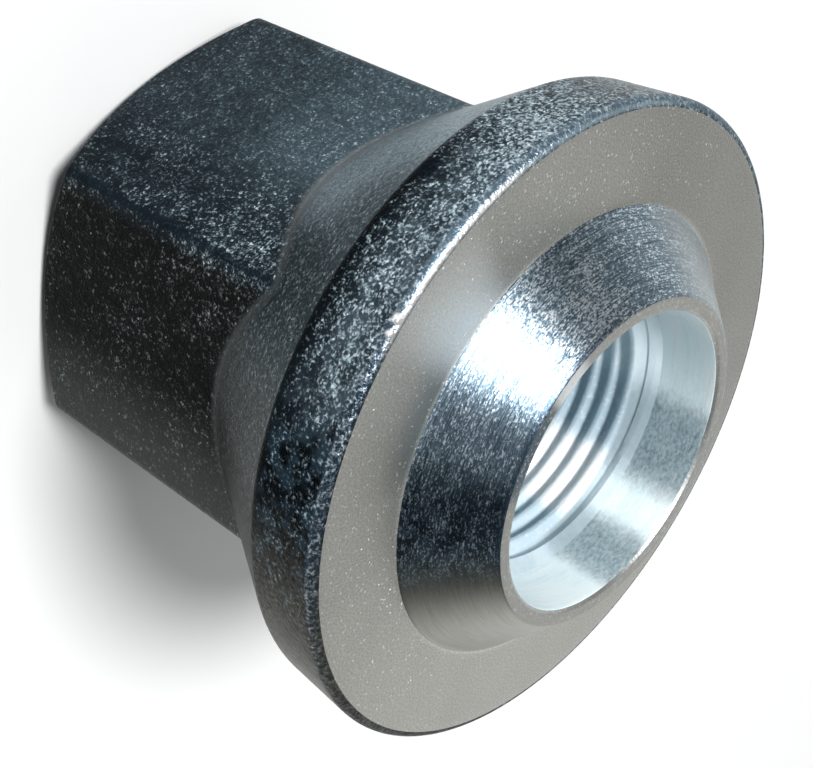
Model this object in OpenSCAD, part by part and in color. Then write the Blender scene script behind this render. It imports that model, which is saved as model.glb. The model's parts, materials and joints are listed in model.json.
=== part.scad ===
// Conical seat hex nut: a hexagon that flares through a cone into a round flange,
// with a plain face and a conical seat round the mouth of the threaded bore.
// The bore axis is +Z. The nut stands on its hex end, and the seat is on top.

/* [Hexagon] */
// Width across the flats
across_flats = 32; // [29:0.5:36]
// Radius of the six upright corners
corner_r = 1; // [0.3:0.1:2]
// Height from the hex end to the flange face
body_h = 36; // [28:0.5:50]
// Width of the chamfer on the end face, measured at the middle of a flat
end_chamfer_w = 0.8; // [0.2:0.1:2]
// Slope of the end chamfer, measured from the end face
end_chamfer_angle = 40; // [20:1:50]

/* [Flange] */
// Diameter of the flange at its face, measured to the sharp edge
flange_d = 45.4; // [42:0.2:54]
// Height of the rim of the flange
rim_h = 5.5; // [3:0.1:8]
// Draft of the rim, which narrows from the flange face to the neck
rim_draft_angle = 4.5; // [0:0.5:8]
// Slope of the neck between the rim and the flats, measured from the bore axis
neck_angle = 30; // [22:1:45]
// Radius of the edge between the rim and the flange face
front_edge_r = 0.6; // [0.2:0.1:1.5]
// Radius of the edge between the rim and the neck
back_edge_r = 1; // [0.2:0.1:4]

/* [Seat] */
// Height of the seat above the flange face
seat_h = 4.3; // [2:0.1:6]
// Included angle of the seat cone
seat_angle = 90; // [60:1:100]
// Radius of the fillet at the foot of the seat
seat_fillet_r = 0.8; // [0.2:0.1:2]
// Width of the flat ring on the nose, between the seat and the bore
nose_w = 1.1; // [0.8:0.1:3]
// Radius of the edge between the seat and the nose ring
nose_edge_r = 0.25; // [0.1:0.05:0.5]

/* [Bore] */
// Nominal diameter of the thread
thread_d = 20; // [16:1:22]
// Pitch of the thread
thread_pitch = 1.5; // [1:0.25:2.5]
// Radial clearance between the thread's nominal diameter and the plain mouth
mouth_clearance = 0.5; // [0.2:0.1:1]
// Depth of the plain mouth below the nose
mouth_depth = 4.5; // [2:0.5:10]
// Width of the small chamfer at the rim of the mouth
mouth_chamfer_w = 0.2; // [0.1:0.05:0.4]
// Radial width by which the countersink in the hex end clears the thread
countersink_clearance = 0.4; // [0.1:0.1:1]
// Included angle of the cones that lead into the thread from both ends
lead_angle = 90; // [60:5:120]

/* [Hidden] */
// Facets of a round surface
$fn = 180;
// How far a cut runs past the face that it opens
cut_past = 1;
// How far an arc overlaps the sides that it rounds, so that they meet with no sliver between them
arc_overlap = 0.0005;
// How far the foot of the neck and the chamfer's envelope overlap the hexagon
hex_overlap = 1;
sides = 6;
half_side_angle = 180 / sides;
// Minor diameter of a metric thread lies this many pitches below the nominal one
minor_per_pitch = 1.0825;

hex_in_r = across_flats / 2;
hex_out_r = hex_in_r / cos(half_side_angle);
end_face_r = hex_in_r - end_chamfer_w;
envelope_r = hex_out_r + hex_overlap;
envelope_z = (envelope_r - end_face_r) * tan(end_chamfer_angle);

flange_r = flange_d / 2;
rim_z = body_h - rim_h;
rim_back_r = flange_r - rim_h * tan(rim_draft_angle);
neck_foot_r = hex_in_r - hex_overlap;
neck_foot_z = rim_z - (rim_back_r - neck_foot_r) / tan(neck_angle);

thread_r = thread_d / 2;
minor_r = thread_r - minor_per_pitch * thread_pitch / 2;
mouth_r = thread_r + mouth_clearance;
countersink_r = thread_r + countersink_clearance;
lead_slope = tan(lead_angle / 2);

nose_z = body_h + seat_h;
nose_r = mouth_r + nose_w;
seat_foot_r = nose_r + seat_h * tan(seat_angle / 2);

function unit(v) = v / norm(v);

function towards_last(points, i) = unit(points[(i + len(points) - 1) % len(points)] - points[i]);

function towards_next(points, i) = unit(points[(i + 1) % len(points)] - points[i]);

function corner_half_angle(points, i) = acos(towards_last(points, i) * towards_next(points, i)) / 2;

// Distance from corner i to the ends of its arc
function arc_setback(points, i, r) = r / tan(corner_half_angle(points, i));

// Centre of the arc that rounds corner i
function arc_centre(points, i, r) =
    points[i]
    + unit(towards_last(points, i) + towards_next(points, i)) * r / sin(corner_half_angle(points, i));

// A corner points outwards where a counterclockwise outline turns left
function points_outwards(points, i) = cross(towards_next(points, i), towards_last(points, i)) > 0;

// Outline given counterclockwise, each corner rounded by the radius of the same number, 0 for sharp
module rounded_outline(points, radii) {
    corners = [for (i = [0 : len(points) - 1]) i];
    rounded = [for (i = corners) if (radii[i] > 0) i];
    difference() {
        union() {
            polygon([
                for (i = corners)
                    for (direction = [towards_last(points, i), towards_next(points, i)])
                        if (radii[i] > 0 || direction == towards_last(points, i))
                            points[i] + direction * (radii[i] > 0 ? arc_setback(points, i, radii[i]) : 0)
            ]);
            for (i = rounded)
                if (points_outwards(points, i))
                    translate(arc_centre(points, i, radii[i]))
                        circle(r = radii[i] + arc_overlap);
        }
        for (i = rounded)
            if (!points_outwards(points, i))
                translate(arc_centre(points, i, radii[i]))
                    circle(r = radii[i] + arc_overlap);
    }
}

// Hexagonal grip with rounded corners, cut by the cone of the end chamfer
module hexagon() {
    outline = [for (i = [0 : sides - 1]) hex_out_r * [cos(i * 360 / sides), sin(i * 360 / sides)]];
    intersection() {
        linear_extrude(rim_z)
            rounded_outline(outline, [for (corner = outline) corner_r]);
        rotate_extrude()
            polygon([
                [0, 0],
                [end_face_r, 0],
                [envelope_r, envelope_z],
                [envelope_r, rim_z],
                [0, rim_z]
            ]);
    }
}

// Neck, rim, flange face, seat and nose, turned round the bore axis
module flange_and_seat() {
    rotate_extrude()
        rounded_outline(
            [
                [0, neck_foot_z],
                [neck_foot_r, neck_foot_z],
                [rim_back_r, rim_z],
                [flange_r, body_h],
                [seat_foot_r, body_h],
                [nose_r, nose_z],
                [0, nose_z]
            ],
            [0, 0, back_edge_r, front_edge_r, seat_fillet_r, nose_edge_r, 0]
        );
}

// Space of the bore: countersink, minor diameter of the thread, lead-in and plain mouth
module bore() {
    rotate_extrude()
        polygon([
            [0, -cut_past],
            [countersink_r, -cut_past],
            [countersink_r, 0],
            [minor_r, (countersink_r - minor_r) / lead_slope],
            [minor_r, nose_z - mouth_depth - (mouth_r - minor_r) / lead_slope],
            [mouth_r, nose_z - mouth_depth],
            [mouth_r, nose_z - mouth_chamfer_w],
            [mouth_r + mouth_chamfer_w, nose_z],
            [mouth_r + mouth_chamfer_w, nose_z + cut_past],
            [0, nose_z + cut_past]
        ]);
}

// The whole nut, forged and turned from one bar of steel
module nut() {
    color([0.60, 0.62, 0.62])
        difference() {
            union() {
                hexagon();
                flange_and_seat();
            }
            bore();
        }
}

nut();
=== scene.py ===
"""Looks of the conical seat hex nut: plated steel with a thread cut in the bore, on a pale studio floor."""
import json
import math

import bmesh
import bpy
import numpy as np
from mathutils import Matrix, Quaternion, Vector


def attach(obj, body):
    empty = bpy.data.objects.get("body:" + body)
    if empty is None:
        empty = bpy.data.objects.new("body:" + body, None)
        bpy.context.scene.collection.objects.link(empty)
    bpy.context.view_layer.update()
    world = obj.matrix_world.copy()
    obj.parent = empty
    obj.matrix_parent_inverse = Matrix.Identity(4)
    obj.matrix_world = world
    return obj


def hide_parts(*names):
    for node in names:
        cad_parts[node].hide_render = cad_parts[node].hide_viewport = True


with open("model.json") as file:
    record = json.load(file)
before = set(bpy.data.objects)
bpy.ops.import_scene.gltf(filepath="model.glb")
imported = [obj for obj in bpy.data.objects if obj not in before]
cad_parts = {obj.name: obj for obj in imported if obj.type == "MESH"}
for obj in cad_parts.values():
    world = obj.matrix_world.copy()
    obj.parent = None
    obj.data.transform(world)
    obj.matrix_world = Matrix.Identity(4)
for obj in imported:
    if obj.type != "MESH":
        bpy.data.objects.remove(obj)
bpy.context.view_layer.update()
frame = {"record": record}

# Sizes of the nut in millimetres, as the solid has them
MM = 0.001
mounts = {mount["name"]: mount for mount in frame["record"]["mounts"]}
FACE_Z = mounts["flange_face"]["pos_m"][2] / MM
MINOR_R = mounts["stud_thread"]["dims"]["r_mm"]
MOUTH_R = mounts["stud_mouth"]["dims"]["r_mm"]
ACROSS_FLATS = 32.0
CORNER_R = 1.0
END_CHAMFER_W = 0.8
END_CHAMFER_ANGLE = math.radians(40)
FLANGE_R = 22.7
RIM_H = 5.5
RIM_DRAFT = math.radians(4.5)
NECK_ANGLE = math.radians(30)
BACK_EDGE_R = 1.0
FRONT_EDGE_R = 0.6
SEAT_H = 4.3
SEAT_FILLET_R = 0.8
NOSE_W = 1.1
NOSE_EDGE_R = 0.25
MOUTH_DEPTH = 4.5
MOUTH_CHAMFER_W = 0.2
COUNTERSINK_R = 10.4
PITCH = 1.5
# Roots of the thread, at half of its nominal diameter
ROOT_R = 10.0

# Edges that the solid leaves sharp and the forging and plating round off
END_EDGE_R = 0.2
CHAMFER_EDGE_R = 0.35
NECK_BLEND_R = 2.0
MOUTH_EDGE_R = 0.08

# Share of the front edge's radius by which the middle of its arc lies inside the sharp corner
ARC_INSET = 0.3
FRONT_EDGE_MIDDLE_R = FLANGE_R - FRONT_EDGE_R * ARC_INSET
FRONT_EDGE_MIDDLE_Z = FACE_Z - FRONT_EDGE_R * ARC_INSET

SIDES = 6
SIDE_ANGLE = math.tau / SIDES
FLAT_R = ACROSS_FLATS / 2
END_FACE_R = FLAT_R - END_CHAMFER_W
RIM_Z = FACE_Z - RIM_H
RIM_BACK_R = FLANGE_R - RIM_H * math.tan(RIM_DRAFT)
NOSE_Z = FACE_Z + SEAT_H
NOSE_R = MOUTH_R + NOSE_W
SEAT_FOOT_R = NOSE_R + SEAT_H
MOUTH_FLOOR_Z = NOSE_Z - MOUTH_DEPTH
THREAD_TOP_Z = MOUTH_FLOOR_Z - (MOUTH_R - MINOR_R)

# Camera at the photograph's viewing angle, rolled as the nut lies in it
IMAGE_SIZE = (813, 768)
SENSOR_W = 36.0
FOCAL_PIXELS = 1470.6
CAMERA_PLACE = (44.705, 72.275, 81.033)
CAMERA_AZIMUTH = math.radians(146.74)
CAMERA_ELEVATION = math.radians(34.355)
CAMERA_ROLL = math.radians(119.77)


def direction(azimuth, elevation):
    """Unit vector towards an azimuth, which is 0 along -Y and 90 along +X, and an elevation, in radians."""
    level = math.cos(elevation)
    return Vector((math.sin(azimuth) * level, -math.cos(azimuth) * level, math.sin(elevation)))


def make_camera():
    data = bpy.data.cameras.new("camera")
    data.sensor_width = SENSOR_W
    data.lens = FOCAL_PIXELS / max(IMAGE_SIZE) * SENSOR_W
    data.clip_start = 0.001
    camera = bpy.data.objects.new("camera", data)
    bpy.context.scene.collection.objects.link(camera)
    camera.location = Vector(CAMERA_PLACE) * MM
    towards_nut = -direction(CAMERA_AZIMUTH, CAMERA_ELEVATION)
    camera.rotation_mode = "QUATERNION"
    camera.rotation_quaternion = towards_nut.to_track_quat("-Z", "Y") @ Quaternion((0, 0, 1), CAMERA_ROLL)
    bpy.context.scene.camera = camera


make_camera()


# Shader values and finishes


class Shade:
    """A value in a node tree. Sums and products of shades add Math nodes to the tree."""

    def __init__(self, finish, socket):
        self.finish = finish
        self.socket = socket

    def math(self, operation, *values):
        return self.finish.node("ShaderNodeMath", {"operation": operation}, dict(enumerate(values)))

    def __add__(self, other):
        return self.math("ADD", self, other)

    def __sub__(self, other):
        return self.math("SUBTRACT", self, other)

    def __rsub__(self, other):
        return self.math("SUBTRACT", other, self)

    def __mul__(self, other):
        return self.math("MULTIPLY", self, other)

    def __truediv__(self, other):
        return self.math("DIVIDE", self, other)

    def __pow__(self, other):
        return self.math("POWER", self, other)

    def fraction(self):
        return self.math("FRACT", self)

    def size(self):
        return self.math("ABSOLUTE", self)

    def between(self, low, high):
        """0 below low, 1 above high and a smooth step from one to the other."""
        settings = {"interpolation_type": "SMOOTHSTEP"}
        values = {"Value": self, "From Min": low, "From Max": high}
        return self.finish.node("ShaderNodeMapRange", settings, values)

    def sparkle(self, low, high):
        """Like between, but with many faint places and few bright ones."""
        return self.between(low, high) ** 2

    __radd__ = __add__
    __rmul__ = __mul__


class Finish:
    """A node tree in which shades are made."""

    def __init__(self, tree):
        self.tree = tree

    def node(self, kind, settings, values, output=0):
        """Adds a node, sets its settings first and then its sockets, and returns one of its outputs."""
        made = self.tree.nodes.new(kind)
        for name, value in settings.items():
            setattr(made, name, value)
        for name, value in values.items():
            if isinstance(value, Shade):
                self.tree.links.new(value.socket, made.inputs[name])
            else:
                made.inputs[name].default_value = value
        return Shade(self, made.outputs[output])

    def vector(self, x, y, z):
        return self.node("ShaderNodeCombineXYZ", {}, {"X": x, "Y": y, "Z": z})

    def part(self, vector, name):
        return self.node("ShaderNodeSeparateXYZ", {}, {"Vector": vector}, name)

    def mix(self, share, low, high):
        """Colour between low and high."""
        settings = {"data_type": "RGBA"}
        return self.node("ShaderNodeMix", settings, {0: share, 6: low, 7: high}, 2)

    def noise(self, place, scale, detail=2.0, roughness=0.5):
        values = {"Vector": place, "Scale": scale, "Detail": detail, "Roughness": roughness}
        return self.node("ShaderNodeTexNoise", {}, values, "Fac")

    def crystals(self, place, scale):
        """One random value between 0 and 1 for each crystal of the plating, scale of them to a unit."""
        colour = self.node("ShaderNodeTexVoronoi", {}, {"Vector": place, "Scale": scale}, "Color")
        return self.part(colour, "X")


# Turn of the stretched highlight, as a share of a full turn, that spreads it across the turned lines
HIGHLIGHT_TURN = 0.25


class Plating(Finish):
    """A finish of the nut, with places on it in millimetres round the bore axis."""

    def __init__(self, name, roughness, anisotropy=0.0, edge_tint=1.0):
        self.material = bpy.data.materials.new(name)
        self.material.use_nodes = True
        super().__init__(self.material.node_tree)
        self.shader = self.tree.nodes["Principled BSDF"]
        self.set("Metallic", 1.0)
        self.set("Roughness", roughness)
        self.set("Anisotropic", anisotropy)
        self.set("Anisotropic Rotation", HIGHLIGHT_TURN)
        self.set("Specular Tint", rgb(edge_tint, edge_tint, edge_tint))
        metres = self.node("ShaderNodeTexCoord", {}, {}, "Object")
        settings = {"operation": "SCALE"}
        self.place = self.node("ShaderNodeVectorMath", settings, {"Vector": metres, "Scale": 1 / MM})
        self.x = self.part(self.place, "X")
        self.y = self.part(self.place, "Y")
        self.height = self.part(self.place, "Z")
        self.radius = (self.x * self.x + self.y * self.y) ** 0.5

    def set(self, socket, value):
        if isinstance(value, Shade):
            self.tree.links.new(value.socket, self.shader.inputs[socket])
        else:
            self.shader.inputs[socket].default_value = value

    def side(self, angle, low, high):
        """1 on the side of the nut that faces an angle, in degrees from +X, and 0 away from it."""
        x, y = math.cos(math.radians(angle)), math.sin(math.radians(angle))
        return ((self.x * x + self.y * y) / self.radius).between(low, high)

    def turned(self, along, across):
        """Place in which a pattern is drawn out round the bore axis, as a lathe tool leaves it."""
        return self.vector(self.x * along, self.y * along, (self.radius - self.height) * across)

    def from_ridge(self):
        """Distance round the axis to the nearest corner of the hexagon."""
        turn = self.y.math("ARCTAN2", self.y, self.x) / SIDE_ANGLE
        return ((turn + 0.5).fraction() - 0.5).size() * SIDE_ANGLE * self.radius

    def spot(self, angle, radius, height, size):
        """1 at the middle of a spot, at an angle in degrees from +X, and 0 at a distance of size from it."""
        x, y = math.cos(math.radians(angle)), math.sin(math.radians(angle))
        middle = (radius * x, radius * y, height)
        settings = {"operation": "DISTANCE"}
        distance = self.node("ShaderNodeVectorMath", settings, {0: self.place, 1: middle}, "Value")
        return 1 - distance.between(0, size)

    def burr(self, angle, size):
        """Spot on the front edge of the rim."""
        return self.spot(angle, FRONT_EDGE_MIDDLE_R, FRONT_EDGE_MIDDLE_Z, size)

    def painted_shade_zones(self):
        """1 in the middle of two zones of the bore with painted shade, with uneven borders."""
        blotches = self.noise(self.turned(0.8, 1.2), 1.0, 4.0, 0.65)
        grain = self.noise(self.turned(2.0, 5.0), 1.0, 2.0, 0.6)
        uneven = (blotches - 0.5) * 0.6 + (grain - 0.5) * 0.5
        first = (self.side(-106, 0.90, 1.0) + uneven).between(0.05, 1.15)
        second = (self.side(-155, 0.95, 1.0) + uneven).between(0.05, 1.25)
        return first + second

    def bump(self, height, depth):
        """Relief from a height between 0 and 1, depth millimetres deep."""
        self.set("Normal", self.node("ShaderNodeBump", {}, {"Height": height, "Distance": depth * MM}))


def rgb(red, green, blue):
    return (red, green, blue, 1.0)


# Finishes, each toned by the side of the nut as the photograph shows it lit. These tones are painted light,
# shade and reflection. So are the dark bases of the flats, rim and seat, which stand in for dark reflections,
# and the bright glints of the crystals.


def flat_colour(plating, patches, grain, crystals):
    """Flats: bluish with crystals painted as bright glints, and painted light and shade by side: darker on
    one side, almost black on the shady side, and a brownish grey painted reflection beyond it.
    """
    clouds = plating.noise(plating.place, 0.16, 3.0)
    # Painted light and shade by side: shade on the shady side, a darker base with brighter glints on the
    # crisp side, and a brownish grey reflection beyond the shady side
    shady = plating.side(93, 0.84, 0.88)
    warm_reflection = plating.side(150, 0.55, 0.95)
    crisp = plating.side(62, 0.86, 0.99)
    towards_neck = plating.height.between(2.0, 24.0)
    tone = towards_neck * 0.7 + clouds * 1.2 + patches * 0.5 + grain * 1.2 + crystals * 0.4 - 1.5
    bluish = plating.mix(tone, rgb(0.019, 0.028, 0.034), rgb(0.070, 0.103, 0.124))
    deep = plating.mix(patches, rgb(0.002, 0.004, 0.006), rgb(0.020, 0.032, 0.040))
    black = plating.mix(patches, rgb(0.002, 0.0025, 0.0025), rgb(0.008, 0.009, 0.009))
    base = plating.mix(crisp, bluish, deep)
    base = plating.mix(shady, base, black)
    base = plating.mix(warm_reflection, base, rgb(0.054, 0.058, 0.055))
    pale = plating.mix(crisp, rgb(0.22, 0.30, 0.35), rgb(0.40, 0.52, 0.59))
    pale = plating.mix(shady, pale, rgb(0.17, 0.195, 0.20))
    density = (clouds - 0.5) * 0.3 + (patches - 0.5) * 0.3 + towards_neck * 0.06 - shady * 0.03
    # Painted glints: crystals made bright in the colour, more of them towards the neck and fewer on the shady
    # side
    glints = grain + (crystals - 0.5) * 0.40 + density
    base = plating.mix(glints.sparkle(0.48, 1.0), base, pale)
    return plating.mix(glints.sparkle(0.72, 1.05) * (1 - shady * 0.6), base, rgb(0.62, 0.74, 0.80))


def neck_colour(plating, grain, crystals):
    """Neck: grey with a soft sheen, painted lighter and darker by side and darker towards the shady side,
    with fine dark and pale flecks, more pale ones on the lit side.
    """
    # Painted light and shade by side: lighter near the flat on one side, darker and almost black towards the
    # shady sides, with a narrow painted dark band and a narrow greyer band
    painted_sheen = plating.mix(plating.side(80, 0.55, 0.80), rgb(0.245, 0.330, 0.375), rgb(0.045, 0.070, 0.083))
    painted_sheen = plating.mix(plating.side(59, 0.980, 0.999) * 0.6, painted_sheen, rgb(0.011, 0.024, 0.032))
    near_flat = (1 - plating.radius.between(18.0, 21.5)) * plating.side(27, 0.92, 0.99)
    painted_sheen = plating.mix(near_flat, painted_sheen, rgb(0.28, 0.36, 0.40))
    painted_sheen = plating.mix(plating.side(115, 0.75, 0.97), painted_sheen, rgb(0.012, 0.011, 0.008))
    painted_sheen = plating.mix(plating.side(81, 0.975, 0.997) * 0.7, painted_sheen, rgb(0.085, 0.092, 0.088))
    flecks = grain + (crystals - 0.5) * 0.5
    painted_sheen = plating.mix((1 - flecks.between(0.15, 0.60)) * 0.6, painted_sheen, rgb(0.020, 0.030, 0.034))
    sparse = plating.side(40, 0.70, 0.98) * 0.4 + 0.35
    return plating.mix(flecks.sparkle(0.42, 1.0) * sparse, painted_sheen, rgb(0.60, 0.70, 0.72))


def forged_grip():
    """Hexagon and neck: flats that meet in ridges, one of them painted dark as shade, and a painted highlight
    along the seam where the neck leaves them.
    """
    plating = Plating("forged_grip", 0.36, edge_tint=0.65)
    neck = plating.node("ShaderNodeAttribute", {"attribute_name": "neck"}, {}, "Fac")
    patches = plating.noise(plating.place, 0.8, 2.0)
    grain = plating.noise(plating.place, 3.4, 2.0, 0.6)
    crystals = plating.crystals(plating.place, 8.5)
    # Painted shade on the ridge at one side; the same mask also calms the bump there
    ridge = (1 - plating.from_ridge().between(0.10, 0.50)) * (1 - neck) * plating.side(60, 0.90, 0.99)
    ridge_shade = plating.mix(patches, rgb(0.003, 0.006, 0.008), rgb(0.012, 0.022, 0.030))
    flats = plating.mix(ridge * 0.9, flat_colour(plating, patches, grain, crystals), ridge_shade)
    base = plating.mix(neck, flats, neck_colour(plating, grain, crystals))
    # Painted highlight along the seam, strongest on the lit side
    seam = plating.mix(plating.side(85, 0.60, 0.90), rgb(0.30, 0.31, 0.31), rgb(0.09, 0.10, 0.10))
    seam_highlight_strength = plating.side(45, 0.30, 0.80) * 1.6 + 0.8
    plating.set("Base Color", plating.mix(neck * (1 - neck) * seam_highlight_strength, base, seam))
    plating.bump((grain + crystals * 0.2) * (1 - ridge * 0.7) * (1 - neck * 0.5), 0.05)
    return plating.material


def rim_colour(plating, patches, grain, crystals):
    """Rim: blue black with crystals painted as dense bright glints, painted shade on the shady side, and
    darker along its back edge up to the far side, as painted shade.
    """
    clouds = plating.noise(plating.place, 0.3, 3.0)
    shady = plating.side(93, 0.88, 0.98)
    far = plating.side(5, 0.85, 1.0)
    # Painted shade along the back edge, with fewer glints there, left out on the far side
    forward = plating.height.between(RIM_Z - 0.4, RIM_Z + 1.0)
    forward = forward + (1 - forward) * plating.side(5, 0.87, 0.91)
    # On one side, painted shade towards the back and more painted glints towards the face
    towards_face = (plating.height.between(RIM_Z, FACE_Z - 1.5) - 0.85) * plating.side(48, 0.84, 0.97)
    blue = plating.mix(patches.between(0.30, 0.70), rgb(0.020, 0.030, 0.039), rgb(0.062, 0.088, 0.109))
    night = plating.mix(patches.between(0.40, 0.65), rgb(0.001, 0.002, 0.003), rgb(0.012, 0.024, 0.035))
    base = plating.mix(shady, blue, night)
    base = plating.mix(towards_face * -1.2, base, rgb(0.004, 0.007, 0.010))
    base = plating.mix(forward, rgb(0.003, 0.005, 0.006), base)
    pale = plating.mix(shady, rgb(0.40, 0.51, 0.57), rgb(0.26, 0.35, 0.40))
    density = (clouds - 0.5) * 0.3 + (patches - 0.5) * 0.2 + towards_face * 0.14
    density = density + forward * 0.18 - shady * 0.16 + far * 0.05 - 0.045
    glints = grain + (crystals - 0.5) * 0.40 + density
    base = plating.mix(glints.sparkle(0.46, 0.95), base, pale)
    return plating.mix(glints.sparkle(0.70, 1.15), base, rgb(0.76, 0.84, 0.88))


def edge_colour(plating, patches, grain, crystals, nicks):
    """Front edge: bluish with crystals painted as bright glints, painted lighter and darker by side, with a
    painted highlight on one side and on the bright nicks.
    """
    # Painted light and shade by side: darker towards the shady side, and lighter on the upper half at one
    # side
    edge = plating.mix(plating.side(95, 0.60, 0.90), rgb(0.12, 0.18, 0.23), rgb(0.028, 0.052, 0.078))
    edge = plating.mix((grain + crystals * 0.3).sparkle(0.45, 1.05), edge, rgb(0.66, 0.75, 0.82))
    upper = 1 - plating.radius.between(FLANGE_R - 0.42, FLANGE_R - 0.18)
    edge = plating.mix(upper * plating.side(22, 0.80, 0.92) * 0.5, edge, rgb(0.50, 0.64, 0.74))
    # Painted highlight on the upper half at one side, broken up by patches, and on the nicks
    painted_edge_highlight = patches.between(0.10, 0.30) * plating.side(43, 0.94, 0.99)
    return plating.mix(painted_edge_highlight * upper + nicks, edge, rgb(0.96, 0.97, 0.98))


def sparkling_rim():
    """Rim and its front edge: a brownish painted reflection on one side, a dark spot at the back, and the
    front edge more matt.
    """
    roughness = 0.30
    plating = Plating("sparkling_rim", roughness, edge_tint=0.6)
    patches = plating.noise(plating.place, 0.9, 2.0)
    grain = plating.noise(plating.place, 3.6, 2.0, 0.6)
    crystals = plating.crystals(plating.place, 7.5)
    warm_reflection = plating.side(142, 0.55, 0.95)
    # Painted reflection: brownish grey on one side of the rim and its edge
    brown_reflection = plating.mix(grain.between(0.3, 0.6), rgb(0.035, 0.034, 0.028), rgb(0.105, 0.100, 0.082))
    dark_spot = plating.spot(33.8, RIM_BACK_R, RIM_Z + 0.35, 1.7) + (patches - 0.5) * 0.4
    # Nicks: raised in the bump, and painted bright as a highlight in the edge's colour
    nicks = plating.burr(55.5, 0.45) * 2 + plating.burr(57.8, 0.32) * 1.5
    rim = plating.mix(warm_reflection * 0.85, rim_colour(plating, patches, grain, crystals), brown_reflection)
    rim = plating.mix(dark_spot.between(0.30, 0.75) * 0.95, rim, rgb(0.003, 0.006, 0.009))
    edge = plating.mix(warm_reflection * 0.8, edge_colour(plating, patches, grain, crystals, nicks), brown_reflection)
    outer = FACE_Z + FLANGE_R
    front_edge = (plating.height + plating.radius).between(outer - 0.7, outer - 0.45)
    plating.set("Base Color", plating.mix(front_edge, rim, edge))
    plating.set("Roughness", front_edge * 0.12 + roughness)
    plating.bump((grain + crystals * 0.2) * (front_edge + 1) + nicks, 0.05)
    return plating.material


def satin_face():
    """Flange face and end face: brownish grey with a soft gloss and tiny specks, painted lighter and darker
    by side, and a painted highlight and a painted shade on the face by the seat.
    """
    plating = Plating("satin_face", 0.38, 0.3)
    clouds = plating.noise(plating.place, 0.2, 3.0)
    grain = plating.noise(plating.place, 7.0, 1.0)
    crystals = plating.crystals(plating.place, 9.0)
    flange = plating.height.between(1.0, 2.0)
    towards_seat = 1 - plating.radius.between(SEAT_FOOT_R + 2.0, FLANGE_R + 1.5)
    near_seat = 1 - plating.radius.between(SEAT_FOOT_R, SEAT_FOOT_R + 3.0)
    # Painted highlight and painted shade on the face by the seat, each on its own side
    painted_highlight_by_seat = plating.side(49, 0.972, 0.999) * towards_seat * flange
    painted_shade_by_seat = plating.side(70, 0.955, 0.995) * near_seat * flange
    # Painted light and shade by side of the nut, with random clouds
    lit = plating.side(165, -1.0, 1.3) + plating.side(72, 0.85, 1.0) * 0.35
    lit = lit + plating.side(34, 0.66, 1.0) * 0.6 + (clouds - 0.5) * 0.4
    dark = plating.mix(lit, rgb(0.30, 0.304, 0.286), rgb(0.49, 0.495, 0.47))
    pale = plating.mix(lit, rgb(0.44, 0.445, 0.424), rgb(0.68, 0.685, 0.66))
    base = plating.mix(grain.between(0.25, 0.75), dark, pale)
    base = plating.mix(painted_shade_by_seat * 0.6, base, rgb(0.20, 0.25, 0.265))
    base = plating.mix(painted_highlight_by_seat * (grain * 0.6 + 0.45), base, rgb(0.97, 1.0, 1.0))
    specks = (crystals + plating.side(65, -0.6, 0.9) * 0.03).between(0.990, 1.025) * 0.8
    plating.set("Base Color", plating.mix(specks, base, rgb(0.97, 0.98, 0.99)))
    plating.bump(grain + specks, 0.014)
    return plating.material


def turned_seat():
    """Seat: turned with fine lines that spread light into a fan, bluish with crystals painted as glints,
    painted shade on the shady side, a painted grey reflection on one side and a painted brownish reflection
    on another.
    """
    plating = Plating("turned_seat", 0.36, 0.78)
    clouds = plating.noise(plating.place, 0.2, 3.0)
    patches = plating.noise(plating.place, 0.8, 2.0)
    lines = plating.noise(plating.turned(0.3, 8.0), 1.0, 3.0, 0.6)
    streaks = plating.noise(plating.turned(2.4, 7.5), 1.0, 2.0, 0.6)
    crystals = plating.crystals(plating.turned(7.5, 7.5), 1.0)
    # Painted light and shade by side: shade on the shady side, a grey reflection on one side, and on another
    # a brownish reflection with its own lit and shaded tones
    shady = plating.side(98, 0.90, 0.99)
    warm_reflection = (plating.side(165, 0.30, 0.80) + (lines - 0.5) * 0.3 + (streaks - 0.5) * 0.4).between(0.05, 0.85)
    painted_sheen = plating.side(-50, 0.70, 0.97)
    base = plating.mix(lines.between(0.3, 0.75), rgb(0.08, 0.12, 0.16), rgb(0.23, 0.315, 0.385))
    blue = plating.mix(patches.between(0.25, 0.75), rgb(0.016, 0.026, 0.036), rgb(0.048, 0.082, 0.115))
    base = plating.mix(shady, base, blue)
    glints = streaks + (crystals - 0.5) * 0.45 + (clouds - 0.5) * 0.3 + (patches - 0.5) * 0.2
    # More painted glints by the fan
    glints = glints + (lines - 0.5) * 0.45 + plating.side(31, 0.94, 0.99) * 0.13
    pale = plating.mix(shady, rgb(0.62, 0.77, 0.89), rgb(0.36, 0.46, 0.54))
    base = plating.mix(glints.sparkle(0.36, 0.84), base, pale)
    base = plating.mix((glints - shady * 0.1).sparkle(0.58, 0.92), base, rgb(0.95, 0.98, 1.0))
    base = plating.mix(painted_sheen * 0.7, base, plating.mix(lines, rgb(0.32, 0.36, 0.38), rgb(0.52, 0.57, 0.59)))
    dusk = plating.mix(lines, rgb(0.040, 0.042, 0.038), rgb(0.11, 0.11, 0.098))
    day = plating.mix(lines, rgb(0.26, 0.26, 0.245), rgb(0.52, 0.52, 0.49))
    base = plating.mix(warm_reflection, base, plating.mix(plating.side(165, 0.58, 0.93), dusk, day))
    # Painted shade line under the nose, on one side
    line = plating.height.between(NOSE_Z - 0.30, NOSE_Z - 0.12) * plating.side(65, 0.60, 0.90)
    plating.set("Base Color", plating.mix(line * 0.7, base, rgb(0.035, 0.065, 0.105)))
    plating.bump(lines * 0.3 + streaks * 0.7, 0.03)
    return plating.material


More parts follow.
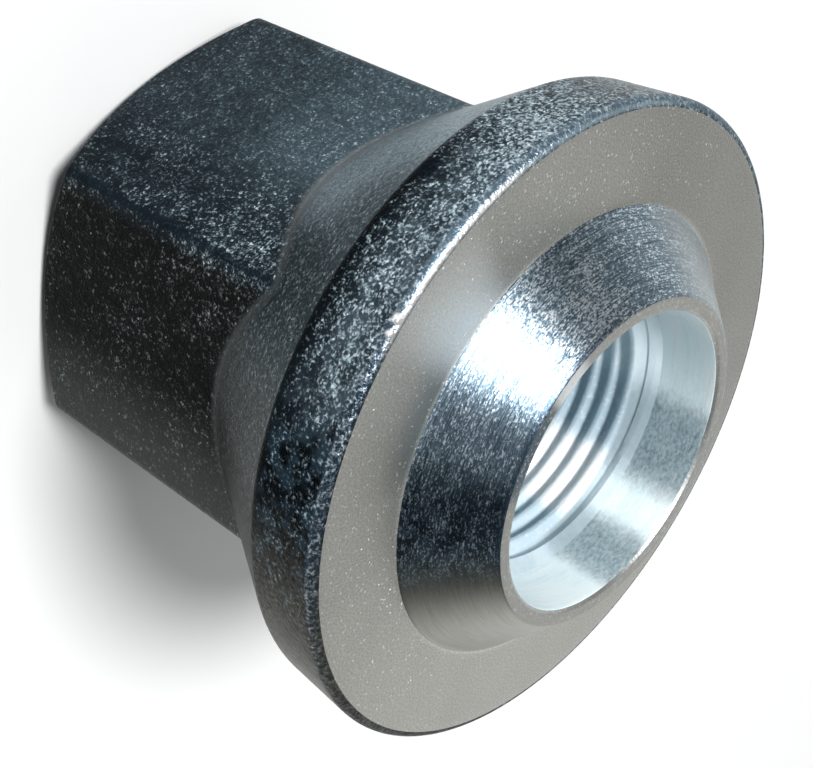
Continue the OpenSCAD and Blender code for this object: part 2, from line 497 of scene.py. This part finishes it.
def worn_nose():
    """Nose ring: brownish grey, with painted shade at one place and a painted highlight at another."""
    plating = Plating("worn_nose", 0.42, 0.3)
    lines = plating.noise(plating.turned(0.4, 9.0), 1.0, 3.0)
    grain = plating.noise(plating.place, 5.0, 3.0)
    base = plating.mix(lines, rgb(0.37, 0.375, 0.365), rgb(0.54, 0.545, 0.53))
    # Painted shade at one place and a painted highlight at another
    base = plating.mix(plating.side(68, 0.94, 0.99), base, rgb(0.12, 0.17, 0.21))
    base = plating.mix(plating.side(44, 0.985, 0.999), base, rgb(0.95, 0.97, 1.0))
    plating.set("Base Color", plating.mix(grain.between(0.5, 0.8), base, rgb(0.70, 0.72, 0.73)))
    plating.bump(grain, 0.015)
    return plating.material


def bright_mouth():
    """Plain wall of the mouth: pale blue, turned and glossy, with two zones of painted shade."""
    plating = Plating("bright_mouth", 0.58, 0.9)
    clouds = plating.noise(plating.turned(0.1, 0.5), 1.0, 3.0)
    lines = plating.noise(plating.turned(0.25, 3.0), 1.0, 3.0, 0.6)
    grain = plating.noise(plating.turned(3.0, 5.0), 1.0, 2.0, 0.6)
    base = plating.mix(clouds.between(0.35, 0.65), rgb(0.82, 0.97, 1.0), rgb(0.90, 0.99, 1.0))
    base = plating.mix(grain.sparkle(0.35, 0.80), base, rgb(0.98, 0.99, 1.0))
    base = plating.mix(lines.between(0.45, 0.75) * 0.2, base, rgb(0.52, 0.64, 0.69))
    painted_shade_colour = plating.mix(grain.between(0.2, 0.8), rgb(0.15, 0.22, 0.25), rgb(0.40, 0.50, 0.54))
    # Painted shade in two zones
    base = plating.mix(plating.painted_shade_zones(), base, painted_shade_colour)
    plating.set("Metallic", plating.side(-132, 0.90, 1.0) * 0.3)
    plating.set("Base Color", base)
    plating.bump(grain + lines, 0.02)
    return plating.material


def pale_thread():
    """Thread and the cones that lead into it: pale blue and soft, with a painted highlight fan between zones
    of painted shade, and painted light on one side.
    """
    plating = Plating("pale_thread", 0.62, 0.85)
    clouds = plating.noise(plating.turned(0.1, 0.5), 1.0, 3.0)
    lines = plating.noise(plating.turned(0.25, 3.0), 1.0, 3.0, 0.6)
    grain = plating.noise(plating.place, 3.0, 2.0, 0.6)
    uneven = (lines - 0.5) * 1.2 + (grain - 0.5) * 0.4
    # Painted highlight fan, and a zone of painted shade beside it
    fan = (plating.side(-136, 0.91, 1.0) + uneven).between(0.15, 1.0)
    dark = (plating.side(-103, 0.90, 1.0) + uneven).between(0.10, 1.0)
    base = plating.mix(clouds.between(0.35, 0.65), rgb(0.54, 0.67, 0.75), rgb(0.67, 0.81, 0.88))
    # Painted light on one side of the thread
    base = plating.mix(plating.side(-70, 0.92, 0.99), base, rgb(0.66, 0.78, 0.84))
    base = plating.mix(dark * 0.8, base, rgb(0.42, 0.54, 0.61))
    base = plating.mix(grain.sparkle(0.40, 0.85) * 0.7, base, rgb(0.95, 0.98, 0.99))
    base = plating.mix(fan, base, rgb(0.97, 0.99, 1.0))
    cone = plating.mix(lines.between(0.3, 0.7), rgb(0.44, 0.54, 0.59), rgb(0.60, 0.70, 0.75))
    # Painted light on one side of the cones, and painted shade in their two zones
    cone = plating.mix(plating.side(-62, 0.90, 0.99) * 0.7, cone, rgb(0.82, 0.93, 0.98))
    cone = plating.mix(plating.painted_shade_zones(), cone, rgb(0.30, 0.38, 0.42))
    lead = plating.height.between(THREAD_TOP_Z - 0.2, THREAD_TOP_Z)
    plating.set("Metallic", 0.15)
    plating.set("Base Color", plating.mix(lead, base, cone))
    plating.bump(grain, 0.03)
    return plating.material


# Mesh of the nut: columns round the axis, and rows along its section

CORNER_STEPS = 8
FLAT_STEPS = 38
FINISHES = {
    "grip": forged_grip,
    "rim": sparkling_rim,
    "face": satin_face,
    "seat": turned_seat,
    "nose": worn_nose,
    "mouth": bright_mouth,
    "thread": pale_thread,
}
# Straight stretches of the section from the countersink to the floor of the mouth:
# finish, rows and depth of the turned grooves
STRETCHES = (
    ("face", 5, 0.0),
    ("grip", 3, 0.0),
    ("grip", 14, 0.0),
    ("grip", 10, 0.0),
    ("rim", 8, 0.0),
    ("face", 12, 0.001),
    ("seat", 40, 0.004),
    ("nose", 4, 0.0),
    ("nose", 1, 0.0),
    ("mouth", 12, 0.002),
)
# Corners between those stretches: radius and the finish of each band of the arc
CORNERS = (
    (END_EDGE_R, ["grip"] * 3),
    (CHAMFER_EDGE_R, ["grip"] * 3),
    (NECK_BLEND_R, ["grip"] * 6),
    (BACK_EDGE_R, ["rim"] * 4),
    (FRONT_EDGE_R, ["rim"] * 8),
    (SEAT_FILLET_R, ["face"] * 3 + ["seat"] * 3),
    (NOSE_EDGE_R, ["seat"] * 3),
    (MOUTH_EDGE_R, ["nose"] * 2),
    (MOUTH_EDGE_R, ["mouth"] * 2),
)
# Half of the flat width of a crest and of a root, as shares of the pitch
HALF_CREST = 1 / 8
HALF_ROOT = 1 / 16
# Rows of the thread, as shares of the pitch from the middle of a crest: each edge is cut by a narrow band
THREAD_SHARES = (-0.145, -0.085, 0.085, 0.145, 0.4175, 0.4775, 0.5225, 0.5825)
# Rise of the neck above a flat over which the finish of the flat goes over to that of the neck
NECK_BLEND_H = 0.5
SHARP_ANGLE = math.radians(38)
GROOVE_SEED = 5
# Heights closer than this to an end of the bore are put on its ring
THREAD_SNAP = 0.03


def corner_half_angle():
    """Half of the angle, seen from the axis, over which a corner of the hexagon is rounded."""
    return SIDE_ANGLE / 2 - math.atan((FLAT_R - CORNER_R) * math.tan(SIDE_ANGLE / 2) / FLAT_R)


def column_angles():
    """Angles of the columns: close together on the rounded corners and even on the flats."""
    half = corner_half_angle()
    corner = np.linspace(-half, half, CORNER_STEPS, endpoint=False)
    flat = np.linspace(half, SIDE_ANGLE - half, FLAT_STEPS, endpoint=False)
    side = np.concatenate([corner, flat])
    return np.concatenate([number * SIDE_ANGLE + side for number in range(SIDES)])


def hexagon_radius(angles):
    """Distance from the axis to the rounded hexagon."""
    from_corner = (angles + SIDE_ANGLE / 2) % SIDE_ANGLE - SIDE_ANGLE / 2
    on_flat = FLAT_R / np.cos(SIDE_ANGLE / 2 - np.abs(from_corner))
    centre = (FLAT_R - CORNER_R) / math.cos(SIDE_ANGLE / 2)
    inside = np.maximum(CORNER_R**2 - (centre * np.sin(from_corner)) ** 2, 0)
    on_corner = centre * np.cos(from_corner) + np.sqrt(inside)
    return np.where(np.abs(from_corner) < corner_half_angle(), on_corner, on_flat)


def section_corners(angles):
    """Sharp corners of the section at each column, from the countersink to the floor of the mouth."""
    grip = hexagon_radius(angles)
    same = np.ones_like(angles)
    return np.array([
        (COUNTERSINK_R * same, 0 * same),
        (END_FACE_R * same, 0 * same),
        (grip, (grip - END_FACE_R) * math.tan(END_CHAMFER_ANGLE)),
        (grip, RIM_Z - (RIM_BACK_R - grip) / math.tan(NECK_ANGLE)),
        (RIM_BACK_R * same, RIM_Z * same),
        (FLANGE_R * same, FACE_Z * same),
        (SEAT_FOOT_R * same, FACE_Z * same),
        (NOSE_R * same, NOSE_Z * same),
        ((MOUTH_R + MOUTH_CHAMFER_W) * same, NOSE_Z * same),
        (MOUTH_R * same, (NOSE_Z - MOUTH_CHAMFER_W) * same),
        (MOUTH_R * same, MOUTH_FLOOR_Z * same),
    ])


def unit(vectors):
    return vectors / np.linalg.norm(vectors, axis=0)


def corner_arc(last, corner, following, radius, steps):
    """Points of the arc that rounds a corner."""
    back = unit(last - corner)
    ahead = unit(following - corner)
    half = np.arccos((back * ahead).sum(0)) / 2
    centre = corner + unit(back + ahead) * radius / np.sin(half)
    start = corner + back * radius / np.tan(half) - centre
    end = corner + ahead * radius / np.tan(half) - centre
    turn = math.pi - 2 * half
    shares = np.linspace(0, 1, steps + 1)
    return [centre + (start * np.sin((1 - s) * turn) + end * np.sin(s * turn)) / np.sin(turn) for s in shares]


def stretch_rows(start, end, steps, groove, draw):
    """Rows of a straight stretch after its first one, each but the last a random groove deep."""
    along = unit(end - start)
    across = np.stack([along[1], -along[0]])
    depths = np.append(draw.uniform(0, groove, steps - 1), 0)
    return [start + (end - start) * (k + 1) / steps - across * depth for k, depth in enumerate(depths)]


def section_rows(angles):
    """Rows of points along the section, and the finish of each band between two rows."""
    corners = section_corners(angles)
    draw = np.random.default_rng(GROOVE_SEED)
    arcs = [
        corner_arc(corners[i], corners[i + 1], corners[i + 2], radius, len(finishes))
        for i, (radius, finishes) in enumerate(CORNERS)
    ]
    starts = [corners[0]] + [arc[-1] for arc in arcs]
    ends = [arc[0] for arc in arcs] + [corners[-1]]
    rows = [corners[0]]
    bands = []
    for i, (finish, steps, groove) in enumerate(STRETCHES):
        rows += stretch_rows(starts[i], ends[i], steps, groove, draw)
        bands += [finish] * steps
        if i < len(arcs):
            rows += arcs[i][1:]
            bands += CORNERS[i][1]
    return np.array(rows), bands


def thread_radius(shares):
    """Radius of the thread at shares of the pitch from mid-crest: straight flanks between flats."""
    from_crest = np.abs((shares + 0.5) % 1 - 0.5)
    rise = np.clip((from_crest - HALF_CREST) / (0.5 - HALF_CREST - HALF_ROOT), 0, 1)
    return MINOR_R + (ROOT_R - MINOR_R) * rise


def lead_radius(height):
    """Radius of the cones that lead into the thread at both ends."""
    return np.maximum(COUNTERSINK_R - height, MOUTH_R - (MOUTH_FLOOR_Z - height))


def places(radius, height, angles):
    return np.stack([radius * np.cos(angles), radius * np.sin(angles), height], axis=-1)


def thread_strip(angles, first_ring, last_ring):
    """New points of a helical strip, and its vertex numbers.

    Past an end of the bore the strip holds that end's ring.
    """
    shares = np.array(THREAD_SHARES)
    turns = math.ceil(MOUTH_FLOOR_Z / PITCH) + 2
    turn, step = np.divmod(np.arange(turns * len(shares) + 1), len(shares))
    height = PITCH * ((turn - 1 + shares[step])[:, None] + angles / math.tau)
    radius = np.maximum(thread_radius(shares)[step][:, None], lead_radius(height))
    inside = (height > THREAD_SNAP) & (height < MOUTH_FLOOR_Z - THREAD_SNAP)
    numbers = np.where(height < MOUTH_FLOOR_Z / 2, first_ring, last_ring)
    numbers[inside] = last_ring[-1] + 1 + np.arange(inside.sum())
    one_turn_on = np.append(numbers[len(shares):, 0], np.full(len(shares), last_ring[0]))
    return places(radius, height, angles)[inside], np.hstack([numbers, one_turn_on[:, None]])


def quads(numbers):
    """Faces between neighbouring rows and columns of vertex numbers, without those that have no area."""
    grid = np.stack([numbers[:-1, :-1], numbers[:-1, 1:], numbers[1:, 1:], numbers[1:, :-1]], axis=-1)
    faces = [tuple(dict.fromkeys(face)) for face in grid.reshape(-1, 4).tolist()]
    return [face for face in faces if len(face) > 2]


def make_nut():
    """One closed mesh: the section swept round the axis, and the thread as a strip between its ends."""
    angles = column_angles()
    rows, bands = section_rows(angles)
    numbers = np.arange(len(rows) * len(angles)).reshape(len(rows), len(angles))
    thread_points, thread_numbers = thread_strip(angles, numbers[0], numbers[-1])
    swept_points = places(rows[:, 0], rows[:, 1], angles).reshape(-1, 3)
    faces = quads(np.hstack([numbers, numbers[:, :1]]))
    finishes = [band for band in bands for _ in angles]
    thread_faces = quads(thread_numbers)
    finishes += ["thread"] * len(thread_faces)

    mesh = bpy.data.meshes.new("zinc_plated_nut")
    mesh.from_pydata(np.concatenate([swept_points, thread_points]) * MM, [], faces + thread_faces)
    for make_finish in FINISHES.values():
        mesh.materials.append(make_finish())
    order = list(FINISHES)
    mesh.polygons.foreach_set("material_index", [order.index(finish) for finish in finishes])
    radius, height = rows[:, 0], rows[:, 1]
    above_flat = (radius - hexagon_radius(angles)) / NECK_BLEND_H
    on_neck = np.where(height < RIM_Z + BACK_EDGE_R, np.clip(above_flat, 0, 1), 0)
    neck = mesh.attributes.new("neck", "FLOAT", "POINT")
    neck.data.foreach_set("value", np.append(on_neck.ravel(), np.zeros(len(thread_points))))
    shaped = bmesh.new()
    shaped.from_mesh(mesh)
    bmesh.ops.recalc_face_normals(shaped, faces=shaped.faces)
    shaped.to_mesh(mesh)
    shaped.free()
    mesh.shade_smooth()
    mesh.set_sharp_from_angle(angle=SHARP_ANGLE)
    nut = bpy.data.objects.new("zinc_plated_nut", mesh)
    bpy.context.scene.collection.objects.link(nut)
    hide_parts("nut")
    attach(nut, "root")


make_nut()


# Floor, lamps and room

FLOOR_R = 4.0
# The floor is this far below the end face, so that the two never share a plane
FLOOR_DROP = 0.00002
FLOOR_COLOUR = rgb(0.82, 0.82, 0.82)
LAMP_DISTANCE = 2.4
# Watts of an area lamp that give an irradiance of 1 at a distance of 1 metre
LAMP_POWER = 4


def make_floor():
    mesh = bpy.data.meshes.new("floor")
    shaped = bmesh.new()
    bmesh.ops.create_circle(shaped, cap_ends=True, segments=64, radius=FLOOR_R)
    shaped.to_mesh(mesh)
    shaped.free()
    material = bpy.data.materials.new("pale_floor")
    material.use_nodes = True
    shader = material.node_tree.nodes["Principled BSDF"]
    shader.inputs["Base Color"].default_value = FLOOR_COLOUR
    shader.inputs["Roughness"].default_value = 0.9
    shader.inputs["Specular IOR Level"].default_value = 0.0
    mesh.materials.append(material)
    floor = bpy.data.objects.new("floor", mesh)
    bpy.context.scene.collection.objects.link(floor)
    floor.location.z = -FLOOR_DROP


def make_lamp(name, azimuth, elevation, width, light, colour):
    """Round soft lamp that looks at the nut from a direction in degrees and gives it that irradiance."""
    data = bpy.data.lights.new(name, "AREA")
    data.shape = "DISK"
    data.size = width
    data.energy = light * LAMP_POWER * LAMP_DISTANCE**2
    data.color = colour
    lamp = bpy.data.objects.new(name, data)
    bpy.context.scene.collection.objects.link(lamp)
    towards_lamp = direction(math.radians(azimuth), math.radians(elevation))
    lamp.location = Vector((0, 0, NOSE_Z * MM)) + towards_lamp * LAMP_DISTANCE
    lamp.rotation_mode = "QUATERNION"
    lamp.rotation_quaternion = (-towards_lamp).to_track_quat("-Z", "Y")
    lamp.visible_camera = False


def make_room():
    """Soft grey room, pale all round near the floor and darker above on the camera's side of the nut."""
    world = bpy.data.worlds.new("studio")
    world.use_nodes = True
    bpy.context.scene.world = world
    room = Finish(world.node_tree)
    towards = room.node("ShaderNodeTexCoord", {}, {}, "Generated")
    bright_side = direction(math.radians(-35), math.radians(8))
    settings = {"operation": "DOT_PRODUCT"}
    facing = room.node("ShaderNodeVectorMath", settings, {0: towards, 1: tuple(bright_side)}, "Value")
    height = room.part(towards, "Z")
    low = 1 - height.between(0.35, 0.60)
    wall = room.mix(low, rgb(0.34, 0.34, 0.325), rgb(0.95, 0.95, 0.92))
    colour = room.mix(facing.between(-0.4, 0.7), rgb(0.030, 0.038, 0.045), wall)
    colour = room.mix(height.between(0.12, 0.30), rgb(0.90, 0.90, 0.88), colour)
    background = world.node_tree.nodes["Background"]
    world.node_tree.links.new(colour.socket, background.inputs["Color"])


make_floor()
make_lamp("key_lamp", azimuth=120, elevation=57, width=0.80, light=3.0, colour=(1.0, 1.0, 1.0))
make_lamp("overhead_softbox", azimuth=150, elevation=85, width=2.7, light=0.35, colour=(0.94, 0.97, 1.0))
make_room()
bpy.context.scene.view_settings.view_transform = "Standard"
